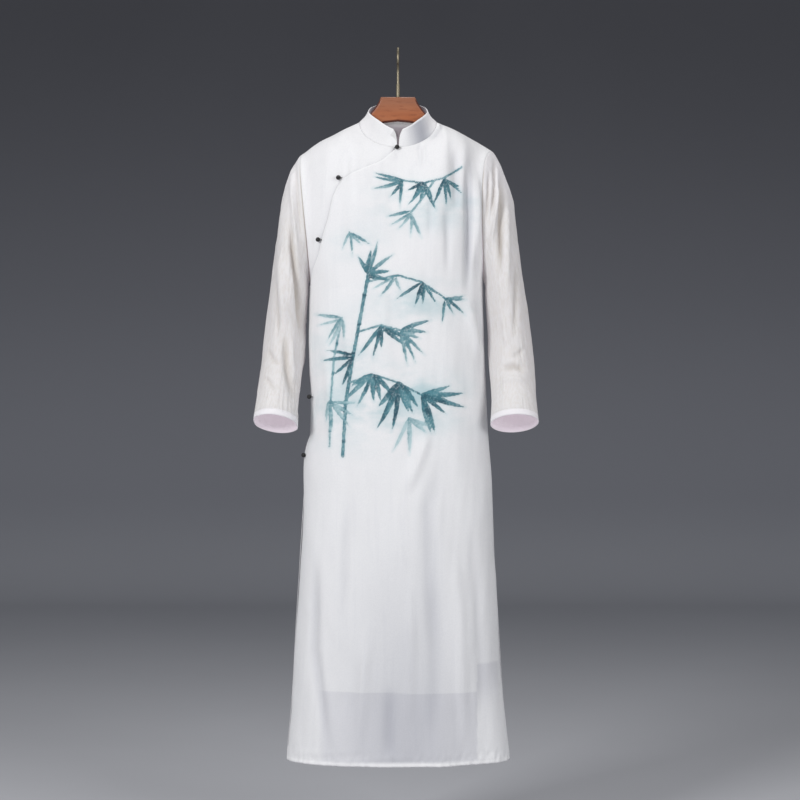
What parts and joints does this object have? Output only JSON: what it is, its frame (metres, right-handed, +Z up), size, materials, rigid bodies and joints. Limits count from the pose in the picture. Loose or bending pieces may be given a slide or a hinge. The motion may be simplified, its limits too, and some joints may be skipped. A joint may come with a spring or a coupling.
{
  "type": "hanfu robe on a hanger",
  "caption": "Ankle-length long-sleeved robe with a stand collar and a side-lapped front closed by ball buttons, side slits, filled out on a wooden hanger.",
  "frame": {"origin": "the inside top of the hanger's crook, where the hook rests on a rail", "axes": "+Z up, the front of the robe faces -Y, the wearer's left is +X"},
  "size_m": [0.601, 0.2392, 1.5247],
  "materials": {
    "cloth": "smooth matt cool white cloth with a teal ink-wash print of leaf sprays and mist",
    "crepe": "crinkled, slightly sheer warm white crepe",
    "lining": "smooth matt white lining",
    "button": "near-black satin balls",
    "wood": "orange-brown varnished wood with darker edges",
    "metal": "warm grey polished metal"
  },
  "bodies": {
    "root": {"front_panel": "cloth", "under_panel": "cloth", "back_panel": "cloth", "sleeve_picture_left": "crepe", "sleeve_picture_right": "crepe", "collar": "cloth", "lining_front": "lining", "lining_back": "lining", "button_collar": "button", "button_chest": "button", "button_underarm": "button", "button_waist": "button", "button_slit": "button", "hanger_body": "wood", "hook": "metal", "hook_ferrule": "metal"}
  },
  "joints": []
}
